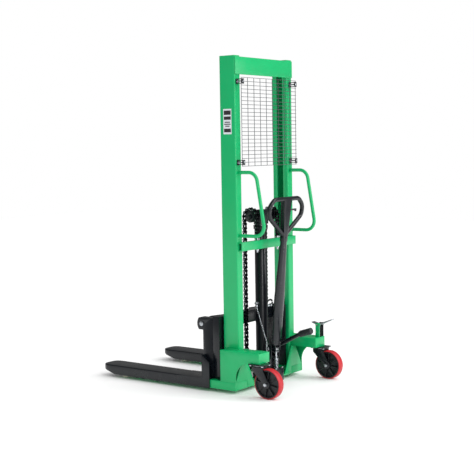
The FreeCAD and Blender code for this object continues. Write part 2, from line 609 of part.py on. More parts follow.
# ---------------------------------------------------------------- pump and tiller
def pump():
    half = "(pump_width / 2)"
    y = "-plunger_place"
    block = box((f"-{half}", half), ("-pump_rear", "-pump_front"), ("floor_gap + 4", "pump_top"))
    on_deck = box((f"-{half} - 1", f"{half} + 1"), ("-base_rear", "0"), ("floor_gap", DECK))
    bore = rod("z", "0", y, (f"{DECK} + 2", "pump_top + 1"), "plunger_diameter + 2 * fit_gap")
    node("pump_block", cut(block, on_deck, bore))
    half = "(tank_width / 2)"
    node("oil_tank", box((f"-{half}", half), ("-tank_rear", "-tank_front"), ("pump_top", "tank_top")))
    cheeks = []
    for s in (-1, 1):
        corners = [("-tank_front", "pump_top"), ("-tank_rear", "pump_top"), ("-tank_rear", "tank_top - 16"),
                   ("-tank_rear - 14", "tank_top"), ("-tank_rear - 14", "cheek_top"),
                   ("-tank_front", "cheek_top")]
        plate = side_profile(corners, mirrored(s, half, f"{half} + cheek_wall"))
        hole = rod("x", mirrored(s, f"{half} - 1", f"{half} + cheek_wall + 1"), "-pivot_place",
                   "pivot_height", "pivot_diameter + 2 * fit_gap")
        cheeks.append(cut(plate, hole))
    node("pivot_cheeks", group(*cheeks))
    head_top = "(pivot_height - push_drop - push_roller_diameter / 2 - push_gap)"
    stem = rod("z", "0", y, (f"{DECK} + 28", f"{head_top} - head_height"), "plunger_diameter")
    seat = rod("z", "0", y, ("seat_height", "seat_height + 4"), "seat_diameter")
    head = box(("-head_half", "head_half"), ("-plunger_place - 12", "-plunger_place + 17.5"),
               (f"{head_top} - head_height", head_top))
    node("pump_plunger", fuse(stem, seat, head))
    coil = rod("z", "0", y, ("pump_top", "seat_height"), "spring_outer")
    core = rod("z", "0", y, ("pump_top - 1", "seat_height + 1"), "spring_inner")
    node("plunger_spring", cut(coil, core))


def pressure_pipe():
    """Bent pipe from the pump block up to the port on the cylinder's side."""
    side = "(cylinder_diameter / 2 + 17)"
    low = "(pump_top - 7)"
    start_y = "-pump_front - 28"
    x = -value(side)
    start = value(along(start_y))
    end = value(along("cylinder_place"))
    corners = [Vector(x, start, value(low)), Vector(x, start, value("pipe_knee")),
               Vector(x, end, value("pipe_top - 16")), Vector(x, end, value("pipe_top"))]
    pipe = scripted(bent_tube(corners, value("pipe_bend"), value("pipe_diameter")))
    boss = rod("x", (f"-{side} - 8", "-cylinder_diameter / 2 + 4"), "cylinder_place",
               "pipe_top + fitting_diameter / 2", "fitting_diameter")
    barrel = rod("z", "0", "cylinder_place", ("pipe_top - 20", "pipe_top + 30"), "cylinder_diameter")
    elbow = rod("x", (f"-{side} - 8", "-pump_width / 2"), start_y, f"{low} - fitting_diameter / 2",
                "fitting_diameter")
    node("pressure_pipe", group(pipe, elbow, cut(boss, barrel)))


def leaned(point):
    """Point on the tiller: (across, out of its plane, up its length) turned by the lean."""
    across, out, up = point
    lean = math.radians(value("tiller_lean"))
    y = -value("pivot_place") - value("tiller_back") - up * math.sin(lean) + out * math.cos(lean)
    z = value("pivot_height") + up * math.cos(lean) + out * math.sin(lean)
    return Vector(across, y + value(MAST_Y), z)


def ellipse(wide, deep, up):
    centre = leaned((0, 0, up))
    across = leaned((1, 0, up)) - centre
    out = leaned((0, 1, up)) - centre
    curve = Part.Ellipse(centre + across * (wide / 2), centre + out * (deep / 2), centre)
    return Part.Wire(curve.toShape())


def slab(across, out, up):
    """Block in the tiller's own leaned directions."""
    corner = Vector(across[0], out[0], up[0])
    solid = Part.makeBox(across[1] - across[0], out[1] - out[0], up[1] - up[0], corner)
    foot = leaned((0, 0, 0))
    solid.rotate(Vector(), Vector(1, 0, 0), value("tiller_lean"))
    solid.translate(foot)
    return solid


def tiller():
    start = value("tiller_foot")
    end = start + value("column_length")
    top = end + value("head_length")
    wide = value("column_wide")
    deep = value("column_deep")
    sections = []
    for thinner in (0, 2 * value("column_wall")):
        sections.append(Part.makeLoft([
            ellipse(wide - thinner, deep - thinner, start),
            ellipse(wide - thinner, deep - thinner, start + value("column_shoulder")),
            ellipse(value("column_wide_top") - thinner, value("column_deep_top") - thinner, end)], True, True))
    column = sections[0].cut(sections[1])
    half = value("head_width") / 2
    foot = value("head_foot_width") / 2
    thick = value("head_thick") / 2
    outline_up = [(-foot, end - 30), (foot, end - 30), (half, top), (-half, top), (-foot, end - 30)]
    sheet_face = Part.Face(Part.makePolygon([leaned((x, -thick, up)) for x, up in outline_up]))
    head = sheet_face.extrude(leaned((0, thick, end)) - leaned((0, -thick, end)))
    tube = value("loop_tube")
    wide = value("loop_half_width") - tube / 2
    narrow = value("loop_top_half")
    tall = value("loop_height")
    right = [(14, end + 14), (wide - 8, end + 0.55 * tall), (wide, end + 0.8 * tall), (narrow, end + tall)]
    corners = right + [(-x, up) for x, up in reversed(right)]
    loop = bent_tube([leaned((x, 0, up)) for x, up in corners], value("loop_bend"), tube)
    slot_up = end + value("trigger_height")
    lever_half = value("trigger_thick") / 2
    play = value("slot_play")
    place_x = value("trigger_place")
    deep = lever_half + play
    slot = slab((place_x - 12, half + 1), (-deep, deep), (slot_up - 12, slot_up + 30))
    pivot = leaned((place_x, -deep, slot_up))
    out = leaned((place_x, deep, slot_up)) - pivot
    pin = Part.makeCylinder(value("trigger_pin") / 2, out.Length, pivot, out)
    arm = column.fuse(head).fuse(loop).cut(slot).fuse(pin)
    node("tiller_arm", scripted(arm.removeSplitter()))
    reach = value("trigger_length")
    lever = slab((place_x, place_x + reach), (-lever_half, lever_half), (slot_up - 5, slot_up + 5))
    tip = slab((place_x + reach - 10, place_x + reach), (-lever_half, lever_half),
               (slot_up - 5 - value("trigger_tip"), slot_up - 5))
    start = leaned((place_x, -lever_half, slot_up))
    hub = Part.makeCylinder(value("trigger_pin") / 2 + 4, value("trigger_thick"), start, out)
    bore = Part.makeCylinder(value("trigger_pin") / 2 + value("fit_gap"), value("trigger_thick"), start, out)
    node("release_trigger", scripted(lever.fuse(tip).fuse(hub).cut(bore).removeSplitter()))


def rocker():
    """Casting on the pivot pin that carries the tiller, the push roller and the pedal rod."""
    y = "-pivot_place"
    hub = rod("x", ("-hub_half", "hub_half"), y, "pivot_height", "pivot_diameter + 2 * hub_wall")
    back = "-pivot_place - tiller_back - socket_reach"
    plates = []
    for s in (-1, 1):
        corners = [("-pivot_place + 4", "pivot_height - 12"), ("-pivot_place + 4", "pivot_height + 14"),
                   ("-pivot_place - tiller_back + 13", "pivot_height + 22"), (back, "pivot_height + 22"),
                   (back, "pivot_height - 18"),
                   ("-pivot_place - push_back - 6", "pivot_height - push_drop - 10")]
        plates.append(side_profile(corners, mirrored(s, "plate_place", "plate_place + plate_wall")))
    socket = box(("-socket_half", "socket_half"), (back, "-pivot_place - tiller_back + 13"),
                 ("pivot_height + socket_low", "pivot_height + socket_top"))
    flange = box(("-flange_half", "flange_half"), (back, "-tank_rear - 14"),
                 ("cheek_top + 2", "pivot_height + socket_top"))
    bore = rod("x", ("-hub_half - 1", "hub_half + 1"), y, "pivot_height", "pivot_diameter")
    reach = 2 * value("flange_half")
    column_room = scripted(slab((-reach, reach), (-reach, reach), (value("tiller_foot"), reach)))
    node("pump_rocker", cut(fuse(hub, *plates, socket, flange), bore, column_room))
    span = ("-tank_width / 2 - cheek_wall - 4", "pedal_side + pedal_boss / 2 + 3")
    pin = rod("x", span, y, "pivot_height", "pivot_diameter")
    inside = "(plate_place - 0.3)"
    roller = rod("x", (f"-{inside}", inside), "-pivot_place - push_back", "pivot_height - push_drop",
                 "push_roller_diameter")
    node("pivot_pin_and_roller", group(pin, roller))


def foot_pedal():
    side = value("pedal_side")
    pivot = Vector(side, value(along("-pivot_place")), value("pivot_height"))
    knee = Vector(side, value(along("-pedal_back")), value("pedal_height"))
    end = Vector(side, value(along("-pedal_end")), value("pedal_end_height"))
    lever = bent_tube([pivot, knee, end], value("pedal_bend"), value("pedal_rod"))
    width = value("pedal_boss")
    start = pivot - Vector(width / 2, 0, 0)
    boss = Part.makeCylinder(value("pedal_rod") / 2 + 3, width, start, Vector(1, 0, 0))
    hole = Part.makeCylinder(value("pivot_diameter") / 2, 2 * width, start - Vector(width / 2, 0, 0),
                             Vector(1, 0, 0))
    node("foot_pedal_lever", scripted(lever.fuse(boss).cut(hole).removeSplitter()))
    heading = (end - knee).normalize()
    length = value("pedal_grip_length")
    grip_start = end - heading * length
    sleeve = Part.makeCylinder(value("pedal_grip") / 2, length + 6, grip_start, heading)
    core = Part.makeCylinder(value("pedal_rod") / 2, length + 1, grip_start - heading, heading)
    node("foot_pedal_grip", scripted(sleeve.cut(core)))


def valve():
    """Lowering valve lever on the pump block's right side."""
    x = "pump_width / 2"
    y = "(-pump_front - valve_back)"
    z = "(pump_top - valve_drop)"
    shaft = rod("x", (f"{x} + valve_gap", f"{x} + 14"), y, z, "valve_shaft")
    blade = side_profile([(f"{y} + 4", f"{z} - 4"), (f"{y} - 4", f"{z} - 4"),
                          (f"{y} - 12", "pump_top + valve_rise"), (f"{y} - 4", "pump_top + valve_rise")],
                         (f"{x} + 6", f"{x} + 11"))
    node("valve_lever", fuse(shaft, blade))


# ---------------------------------------------------------------- casters
def caster_plates():
    mounts = []
    for s in (-1, 1):
        x = f"{s} * caster_x"
        under = "(arm_bottom - caster_plate_wall)"
        plate = box((f"{x} - caster_plate_wide / 2", f"{x} + caster_plate_wide / 2"),
                    (f"{KING_Y} - caster_plate_long / 2", f"{KING_Y} + caster_plate_long / 2"),
                    (under, "arm_bottom"))
        race = rod("z", x, KING_Y, (f"{under} - race_height", under), "race_diameter")
        low = f"({under} - race_height - crown_wall - fit_gap)"
        king = rod("z", x, KING_Y, (f"{low} - 1", "arm_bottom"), "kingpin_diameter")
        nut = rod("z", x, KING_Y, (f"{low} - 7", f"{low} - fit_gap"), "kingpin_diameter + 12")
        bore = rod("z", x, KING_Y, (f"{low} - 9", "arm_bottom + 1"), "kingpin_bore")
        mounts.append(cut(fuse(plate, race, king, nut), bore))
    node("caster_mounts", group(*mounts))


def caster(side, label):
    """Swivel yoke with its through axle, and the wheel's hub and tread."""
    x = f"{side} * caster_x"
    y = "-hub_back"
    hub_z = "wheel_diameter / 2"
    top = "(arm_bottom - caster_plate_wall - race_height - fit_gap)"
    crown = rod("z", x, KING_Y, (f"{top} - crown_wall", top), "crown_diameter")
    inside = "(wheel_width / 2 + fork_gap)"
    outside = f"({inside} + yoke_wall)"
    shoulder = f"{top} - yoke_shoulder"
    legs = []
    heads = []
    for s in (-1, 1):
        corners = [(f"{KING_Y} + yoke_front", top), (f"{KING_Y} + yoke_front", shoulder),
                   (f"{y} + axle_boss - 2", hub_z), (f"{y} - axle_boss + 2", hub_z),
                   (f"{KING_Y} - yoke_rear", shoulder), (f"{KING_Y} - yoke_rear", top)]
        span = tuple(f"{x} + {end}" for end in mirrored(s, inside, outside))
        legs.append(side_profile(corners, span))
        legs.append(rod("x", span, y, hub_z, "2 * axle_boss"))
        head_span = tuple(f"{x} + {end}" for end in mirrored(s, outside, f"{outside} + axle_head"))
        heads.append(rod("x", head_span, y, hub_z, "wheel_axle + 8"))
    king = rod("z", x, KING_Y, (f"{top} - 40", f"{top} + 1"), "kingpin_diameter + 2 * fit_gap")
    bore = rod("x", (f"{x} - {outside} - 1", f"{x} + {outside} + 1"), y, hub_z, "wheel_axle")
    shank = rod("x", (f"{x} - {outside} - axle_head", f"{x} + {outside} + axle_head"), y, hub_z, "wheel_axle")
    node(f"caster_yoke_{label}", group(cut(fuse(crown, *legs), king, bore), fuse(shank, *heads)))
    half = "(wheel_width / 2)"
    dish = f"({half} - hub_dish)"
    face = f"({half} - 1)"
    side_face = f"({half} + hub_side)"
    rim = "(wheel_diameter / 2 - tread_depth)"
    bore_r = "(wheel_axle / 2 + fit_gap)"
    right = [(rim, face), (f"{rim} - rim_wall", face), (f"{rim} - rim_wall - 4", dish), ("hub_waist", dish),
             ("hub_core", side_face), (bore_r, side_face)]
    left = [(radius, f"-{height}") for radius, height in reversed(right)]
    node(f"caster_hub_{label}", turned(left + right, x, y, hub_z, "x"))
    edge = "wheel_diameter / 2"
    corners = [(rim, f"-{half}"), (f"{edge} - 3", f"-{half}"), (edge, f"-{half} + 6"), (edge, f"{half} - 6"),
               (f"{edge} - 3", half), (rim, half)]
    node(f"caster_tread_{label}", turned(corners, x, y, hub_z, "x"))


# ---------------------------------------------------------------- parking brake
def brake():
    """Rocker pedal over the right caster: its rod runs down the hollow kingpin to a shoe."""
    y = "-brake_pivot_back"
    half = "(pedal_plate_wide / 2)"
    inside = f"({half} + post_gap)"
    names = ("brake_post", "brake_bracket")
    for s, name in zip((-1, 1), names):
        low, high = (f"caster_x + {end}" for end in mirrored(s, inside, f"{inside} + post_wall"))
        plate = box((low, high), (f"{y} - 14", f"{y} + 14"), ("base_top", "brake_pivot_height + 12"))
        bore = rod("x", (f"{low} - 1", f"{high} + 1"), y, "brake_pivot_height", "brake_shaft + 2 * fit_gap")
        node(name, cut(plate, bore))
    low = "(brake_pivot_height - 9)"
    corners = [(f"{y} + front_lobe", f"{low} + 20"), (f"{y} + front_lobe", f"{low} + 20 + pedal_plate_wall"),
               (f"{y} + 14", "brake_pivot_height + 8"), (f"{y} - 16", "brake_pivot_height + 12"),
               (f"{y} - rear_lobe", f"{low} + 48 + pedal_plate_wall"), (f"{y} - rear_lobe", f"{low} + 48"),
               (f"{y} - 20", f"{low} + 8"), (y, low), (f"{y} + 12", f"{low} + 6")]
    rocker_plate = side_profile(corners, (f"caster_x - {half}", f"caster_x + {half}"))
    reach = f"({inside} + post_wall + 4)"
    shaft = rod("x", (f"caster_x - {reach}", f"caster_x + {reach}"), y, "brake_pivot_height", "brake_shaft")
    node("brake_pedal", fuse(rocker_plate, shaft))
    shoe_top = "shoe_bottom + 6"
    stem = rod("z", "caster_x", KING_Y, (shoe_top, "brake_rod_top"), "brake_rod_diameter")
    shoe = rod("z", "caster_x", KING_Y, ("shoe_bottom", shoe_top), "shoe_diameter")
    node("brake_rod", fuse(stem, shoe))


for side, label in SIDES:
    upright(side, label)
beams()
guard()
grab_handles()
for side, label in SIDES:
    base_side(side, label)
    caster_arm(side, label)
    leg(side, label)
    load_roller(side, label)
    fork(side, label)
    sheave(side, label)
    mast_roller(side, label, "lower_stub_height", "lower")
    mast_roller(side, label, "upper_stub_height", "upper")
    caster(side, label)
deck()
carriage()
cylinder()
chains()
anchors()
pump()
pressure_pipe()
tiller()
rocker()
foot_pedal()
valve()
caster_plates()
brake()

doc.recompute()
faults = [f"{obj.Label}: {obj.State}" for obj in doc.Objects if {"Invalid", "Error"} & set(obj.State)]
faults += [f"{obj.Label}: bad shape" for obj in NODES if obj.Shape.isNull() or not obj.Shape.isValid()]
if faults:
    raise RuntimeError("; ".join(faults))
os.makedirs("parts", exist_ok=True)
for obj in NODES:
    obj.Shape.exportStep(f"parts/{obj.Label}.step")
print(len(NODES), "nodes")
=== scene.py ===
import json
import math
import random

import bmesh
import bpy
from mathutils import Matrix, Vector


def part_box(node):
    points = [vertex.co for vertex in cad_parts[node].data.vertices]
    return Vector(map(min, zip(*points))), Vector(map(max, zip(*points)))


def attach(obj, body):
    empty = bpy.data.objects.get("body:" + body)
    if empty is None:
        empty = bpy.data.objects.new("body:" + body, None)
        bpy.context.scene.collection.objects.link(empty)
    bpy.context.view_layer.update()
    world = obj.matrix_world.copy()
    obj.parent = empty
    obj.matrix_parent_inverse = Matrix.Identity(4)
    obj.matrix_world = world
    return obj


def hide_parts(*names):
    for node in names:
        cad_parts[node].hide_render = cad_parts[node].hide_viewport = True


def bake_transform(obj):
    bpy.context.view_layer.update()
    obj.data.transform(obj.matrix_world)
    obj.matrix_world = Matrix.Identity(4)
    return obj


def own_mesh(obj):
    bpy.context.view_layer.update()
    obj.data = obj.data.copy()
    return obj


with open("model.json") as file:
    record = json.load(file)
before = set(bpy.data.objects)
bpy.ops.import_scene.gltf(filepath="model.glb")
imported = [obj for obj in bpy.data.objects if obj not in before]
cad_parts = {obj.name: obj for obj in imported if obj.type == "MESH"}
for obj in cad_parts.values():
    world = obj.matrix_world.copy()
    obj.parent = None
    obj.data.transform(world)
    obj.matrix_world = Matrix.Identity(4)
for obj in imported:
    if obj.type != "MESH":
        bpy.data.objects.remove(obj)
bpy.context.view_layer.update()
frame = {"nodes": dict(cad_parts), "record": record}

# Walkie stacker: the looks of a hand-pumped lift truck, built round its CAD frame.
# Lengths are metres in the frame's own axes: +X the operator's right, +Y the fork tips, +Z up.

NODES = frame["nodes"]
RECORD = frame["record"]
BODY_OF = {node: body for body, members in RECORD["behaviour"]["bodies"].items() for node in members}
SLOT_OF = {part["node"]: part["material_slot"] for part in RECORD["subparts"]}
SIDES = ((-1, "left"), (1, "right"))
MM = 0.001
MERGE = 0.005 * MM
CAD_MERGE = 0.02 * MM
FLAT_ANGLE = math.radians(0.6)
GROUND_EDGE = 1.2 * MM
CHAIN_PITCH = 24.9 * MM
CHAIN_TALL = 20 * MM
DICE = random.Random(7)


# ---------------------------------------------------------------- materials
def linear(code):
    """Linear colour, with full alpha, of an sRGB hex value."""
    parts = [int(code[i:i + 2], 16) / 255 for i in (1, 3, 5)]
    return [c / 12.92 if c <= 0.04045 else ((c + 0.055) / 1.055) ** 2.4 for c in parts] + [1.0]


def add(tree, kind, inputs, **settings):
    """One shader node with its settings; an input given as a socket is linked to it."""
    made = tree.nodes.new(kind)
    for name, value in settings.items():
        setattr(made, name, value)
    for name, value in inputs.items():
        if isinstance(value, bpy.types.NodeSocket):
            tree.links.new(value, made.inputs[name])
        else:
            made.inputs[name].default_value = value
    return made


def start_material(name, **settings):
    """A material with its shader's constants set, and the place that its patterns read."""
    material = bpy.data.materials.new(name)
    material.use_nodes = True
    tree = material.node_tree
    shader = tree.nodes["Principled BSDF"]
    for key, value in settings.items():
        shader.inputs[key.replace("_", " ")].default_value = value
    place = add(tree, "ShaderNodeTexCoord", {}).outputs["Object"]
    return material, tree, shader, place


def noise(tree, place, size, detail=2.0, stretch=(1, 1, 1)):
    """Cloudy pattern whose patches are about one size across."""
    scaled = add(tree, "ShaderNodeMapping", {"Vector": place, "Scale": [s / size for s in stretch]})
    return add(tree, "ShaderNodeTexNoise", {"Vector": scaled.outputs["Vector"], "Scale": 1.0,
                                            "Detail": detail})


def relief(tree, shader, height, depth):
    """Bump of a real depth from a pattern."""
    bump = add(tree, "ShaderNodeBump", {"Height": height, "Distance": depth, "Strength": 1.0})
    tree.links.new(bump.outputs["Normal"], shader.inputs["Normal"])


def tinted(tree, shader, factor, first, second):
    """Base colour that drifts between two sRGB colours."""
    mix = add(tree, "ShaderNodeMix", {"Factor": factor}, data_type="RGBA")
    mix.inputs[6].default_value = linear(first)
    mix.inputs[7].default_value = linear(second)
    tree.links.new(mix.outputs[2], shader.inputs["Base Color"])
    return mix


def ranged(tree, shader, socket, factor, low, high):
    """A shader value that drifts between two numbers."""
    span = add(tree, "ShaderNodeMapRange", {"Value": factor, "From Min": 0.3, "From Max": 0.7,
                                            "To Min": low, "To Max": high})
    tree.links.new(span.outputs["Result"], shader.inputs[socket])


def powder_coat(name, deep, light, roughness, peel):
    """Baked polyester powder: an even colour, a clear gloss and a faint orange peel."""
    material, tree, shader, place = start_material(name, IOR=1.45, Coat_Weight=0.15, Coat_Roughness=0.12)
    clouds = noise(tree, place, 220 * MM, 3.0)
    tinted(tree, shader, clouds.outputs["Fac"], deep, light)
    ranged(tree, shader, "Roughness", noise(tree, place, 60 * MM, 4.0).outputs["Fac"], roughness - 0.05,
           roughness + 0.06)
    relief(tree, shader, noise(tree, place, 3.2 * MM, 1.0).outputs["Fac"], peel)
    return material


def plated_steel(name, deep, light, roughness, grain_size, grain_depth, stretch=(1, 1, 1)):
    """Bright plated or turned steel: metal whose cloudy tarnish and fine grain break up the shine."""
    material, tree, shader, place = start_material(name, Metallic=1.0)
    clouds = noise(tree, place, 14 * MM, 4.0)
    tinted(tree, shader, clouds.outputs["Fac"], deep, light)
    ranged(tree, shader, "Roughness", noise(tree, place, 7 * MM, 3.0).outputs["Fac"], roughness - 0.06,
           roughness + 0.10)
    relief(tree, shader, noise(tree, place, grain_size, 2.0, stretch).outputs["Fac"], grain_depth)
    return material


def cast_urethane():
    """Poured polyurethane: strong red, a soft skin that scatters a little light, and a satin scuff."""
    material, tree, shader, place = start_material("red cast polyurethane", IOR=1.5, Subsurface_Weight=0.08,
                                                   Subsurface_Scale=0.004, Specular_IOR_Level=0.45)
    shader.inputs["Subsurface Radius"].default_value = (1.0, 0.25, 0.2)
    clouds = noise(tree, place, 35 * MM, 5.0)
    tinted(tree, shader, clouds.outputs["Fac"], "#AC1721", "#BE242D")
    ranged(tree, shader, "Roughness", noise(tree, place, 9 * MM, 4.0).outputs["Fac"], 0.34, 0.52)
    relief(tree, shader, noise(tree, place, 1.6 * MM, 3.0).outputs["Fac"], 0.05 * MM)
    return material


def moulded(name, deep, light, roughness, grain, depth):
    """Moulded polymer or rubber with the fine leather grain of its mould."""
    material, tree, shader, place = start_material(name, IOR=1.5)
    tinted(tree, shader, noise(tree, place, 40 * MM, 3.0).outputs["Fac"], deep, light)
    ranged(tree, shader, "Roughness", noise(tree, place, 12 * MM, 3.0).outputs["Fac"], roughness - 0.05,
           roughness + 0.07)
    cells = add(tree, "ShaderNodeTexVoronoi", {"Vector": place, "Scale": 1 / grain})
    relief(tree, shader, cells.outputs["Distance"], depth)
    return material


# Baked powder on the mast and base: an even, bright green under a thin clear gloss.
GREEN = powder_coat("green polyester powder coat", "#00A25D", "#01AF68", 0.33, 0.020 * MM)
# Sprayed and baked enamel on the forks, pump and tiller: near black with a blue cast, and glossier.
BLACK = powder_coat("black stoving enamel", "#080C12", "#10151C", 0.30, 0.012 * MM)
# Paint over a sand-cast wheel core: the grain of the casting shows through and dulls it.
BLACK_CAST = powder_coat("black paint over cast iron", "#0A0C10", "#14171C", 0.42, 0.10 * MM)
# Dipped guard wire: a mid grey that stays thin and quiet in front of the load.
WIRE = powder_coat("grey dipped wire", "#3A3E42", "#4A4F54", 0.38, 0.02 * MM)
# Zinc plate on bolts, nuts and the brake pedal: a pale, slightly cloudy shine.
ZINC = plated_steel("bright zinc plate", "#B4B9C0", "#D6DADF", 0.26, 1.2 * MM, 0.010 * MM)
# Bright shaft steel: fine marks along the cross shafts draw the shine out.
STEEL = plated_steel("turned steel", "#9EA3A9", "#C3C7CB", 0.28, 0.9 * MM, 0.012 * MM, (0.15, 1, 1))
# Hard chrome on the piston rod: ground and polished, with faint streaks along the rod.
CHROME = plated_steel("hard chrome", "#CDD1D6", "#E6E9EC", 0.10, 2.5 * MM, 0.003 * MM, (1, 1, 0.1))
# Oiled chain side plates: dark, with an uneven oily gleam.
CHAIN = plated_steel("oiled chain plate", "#15171A", "#2C3036", 0.34, 1.5 * MM, 0.02 * MM)
# Riveted pin ends, rubbed bright, which dot the dark chain.
CHAIN_PIN = plated_steel("bright riveted pin", "#8C9096", "#B9BDC2", 0.30, 1.0 * MM, 0.01 * MM)
URETHANE = cast_urethane()
# Cast nylon load rollers: ivory and waxy.
NYLON = moulded("cast nylon", "#D6D0BE", "#E4DFD0", 0.42, 2.5 * MM, 0.02 * MM)
# Moulded rubber on grips and hose: matt, with the grain of its mould.
RUBBER = moulded("moulded rubber grip", "#16191D", "#22262B", 0.55, 1.8 * MM, 0.06 * MM)
# Printed film of the label; its real grain is too fine to show, so it is drawn at 4 mm.
VINYL = moulded("pale vinyl film", "#C9CDD4", "#DADDE2", 0.35, 4 * MM, 0.004 * MM)
DARK_INK = moulded("dark printed film", "#1F2126", "#33262B", 0.35, 4 * MM, 0.004 * MM)

SLOT_FINISH = {
    "green_paint": GREEN, "black_paint": BLACK, "chain_steel": CHAIN, "zinc_plate": ZINC,
    "chrome_rod": CHROME, "bright_steel": STEEL, "guard_wire": WIRE, "grip_rubber": RUBBER,
    "wheel_core": BLACK_CAST, "red_tread": URETHANE, "nylon": NYLON,
}


# ---------------------------------------------------------------- making pieces
def piece(bm, name, body, materials, replaced=(), crease=32):
    """Turns a bmesh into a named piece that rides on a body."""
    bmesh.ops.remove_doubles(bm, verts=bm.verts, dist=MERGE)
    bmesh.ops.recalc_face_normals(bm, faces=bm.faces)
    mesh = bpy.data.meshes.new(name)
    bm.to_mesh(mesh)
    bm.free()
    for material in materials:
        mesh.materials.append(material)
    mesh.polygons.foreach_set("use_smooth", [True] * len(mesh.polygons))
    mesh.set_sharp_from_angle(angle=math.radians(crease))
    obj = bpy.data.objects.new(name, mesh)
    bpy.context.scene.collection.objects.link(obj)
    if body:
        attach(obj, body)
    if replaced:
        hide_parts(*replaced)
    return obj


def cad_copy(node, whole=True):
    """A CAD piece's mesh, merged and, unless its outline is too hollow for that, with whole flat faces."""
    bm = bmesh.new()
    bm.from_mesh(NODES[node].data)
    bmesh.ops.remove_doubles(bm, verts=bm.verts, dist=CAD_MERGE)
    if whole:
        bmesh.ops.dissolve_limit(bm, angle_limit=FLAT_ANGLE, verts=bm.verts, edges=bm.edges)
    return bm


def break_edges(bm, edge, segments=2, keep=None, angle=35):
    """Rounds the sharp edges of a bmesh, as grinding and coating leave them."""
    sharp = [e for e in bm.edges if len(e.link_faces) == 2 and e.calc_face_angle() > math.radians(angle)
             and (keep is None or keep(e))]
    bmesh.ops.bevel(bm, geom=sharp, offset=edge, offset_type="OFFSET", segments=segments, profile=0.5,
                    affect="EDGES", clamp_overlap=True, material=-1)


def dressed(node, edge, material=None, segments=2, name=None):
    """A CAD piece with rounded edges, which stands for the plain one."""
    bm = cad_copy(node, node not in HOLLOW_OUTLINES)
    break_edges(bm, edge, segments)
    return piece(bm, name or f"{node}_dressed", BODY_OF[node],
                 [material or SLOT_FINISH[SLOT_OF[node]]], [node])


def corners_of(node):
    """Low and high corners of a CAD piece, as vectors."""
    low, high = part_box(node)
    return Vector(low), Vector(high)


def middle_of(node):
    """Middle of a CAD piece's box."""
    low, high = corners_of(node)
    return (low + high) / 2


def joint_place(name):
    """Where a joint sits, as the record gives it."""
    return next(j for j in RECORD["behaviour"]["joints"] if j["name"] == name)["pos_m"]


def frame_along(direction):
    """Turn that lays a shape's Z axis along a direction."""
    return Vector(direction).to_track_quat("Z", "Y").to_matrix().to_4x4()


def drum(bm, start, end, radius, sides=32, edge=0.0, mat=0, tip=None):
    """Cylinder between two points, or a cone when its tip has another radius; edge rounds both rims."""
    start = Vector(start)
    end = Vector(end)
    turn = Matrix.Translation((start + end) / 2) @ frame_along(end - start)
    made = bmesh.ops.create_cone(bm, cap_ends=True, cap_tris=False, segments=sides, radius1=radius,
                                 radius2=radius if tip is None else tip,
                                 depth=(end - start).length, matrix=turn)
    faces = {f for v in made["verts"] for f in v.link_faces}
    for face in faces:
        face.material_index = mat
    if edge:
        rims = {e for f in faces if len(f.verts) == sides for e in f.edges}
        bmesh.ops.bevel(bm, geom=list(rims), offset=edge, offset_type="OFFSET", segments=2, profile=0.5,
                        affect="EDGES", clamp_overlap=True, material=-1)


def slab(bm, low, high, edge=0.0, mat=0):
    """Block between two corners, with rounded edges."""
    low = Vector(low)
    high = Vector(high)
    made = bmesh.ops.create_cube(bm, size=1, matrix=Matrix.Translation((low + high) / 2)
                                 @ Matrix.Diagonal((*(high - low), 1)))
    faces = {f for v in made["verts"] for f in v.link_faces}
    for face in faces:
        face.material_index = mat
    if edge:
        bmesh.ops.bevel(bm, geom=list({e for f in faces for e in f.edges}), offset=edge, offset_type="OFFSET",
                        segments=2, profile=0.5, affect="EDGES", clamp_overlap=True, material=-1)


def swept(bm, points, radii, sides=10, mat=0):
    """Round section carried along points; the ends are closed."""
    rings = []
    count = len(points)
    for i, point in enumerate(points):
        ahead = (Vector(points[min(i + 1, count - 1)]) - Vector(points[max(i - 1, 0)])).normalized()
        turn = frame_along(ahead)
        ring = []
        for k in range(sides):
            angle = math.tau * k / sides
            spot = turn @ Vector((math.cos(angle), math.sin(angle), 0)) * radii[i]
            ring.append(bm.verts.new(Vector(point) + spot))
        rings.append(ring)
    for first, second in zip(rings, rings[1:]):
        for k in range(sides):
            face = bm.faces.new((first[k], first[(k + 1) % sides], second[(k + 1) % sides], second[k]))
            face.material_index = mat
    for ring in (rings[0], rings[-1]):
        bm.faces.new(ring).material_index = mat


def hexagon(bm, start, end, across, mat=0):
    """Hexagon nut or bolt head with its chamfered outer face."""
    start = Vector(start)
    end = Vector(end)
    shoulder = start.lerp(end, 0.82)
    radius = across / math.sqrt(3)
    drum(bm, start, shoulder, radius, 6, mat=mat)
    drum(bm, shoulder, end, radius, 6, mat=mat, tip=radius * 0.86)


def bead(bm, start, end, radius=2.6 * MM):
    """Weld bead: a low round run whose ripples are frozen pools, a little uneven."""
    start = Vector(start)
    end = Vector(end)
    ripple = 2.6 * MM
    steps = max(6, int((end - start).length / ripple))
    points = [start.lerp(end, i / steps) for i in range(steps + 1)]
    radii = [radius * (0.86 + 0.20 * (i % 2) + DICE.uniform(-0.06, 0.06)) for i in range(steps + 1)]
    swept(bm, points, radii, 7)


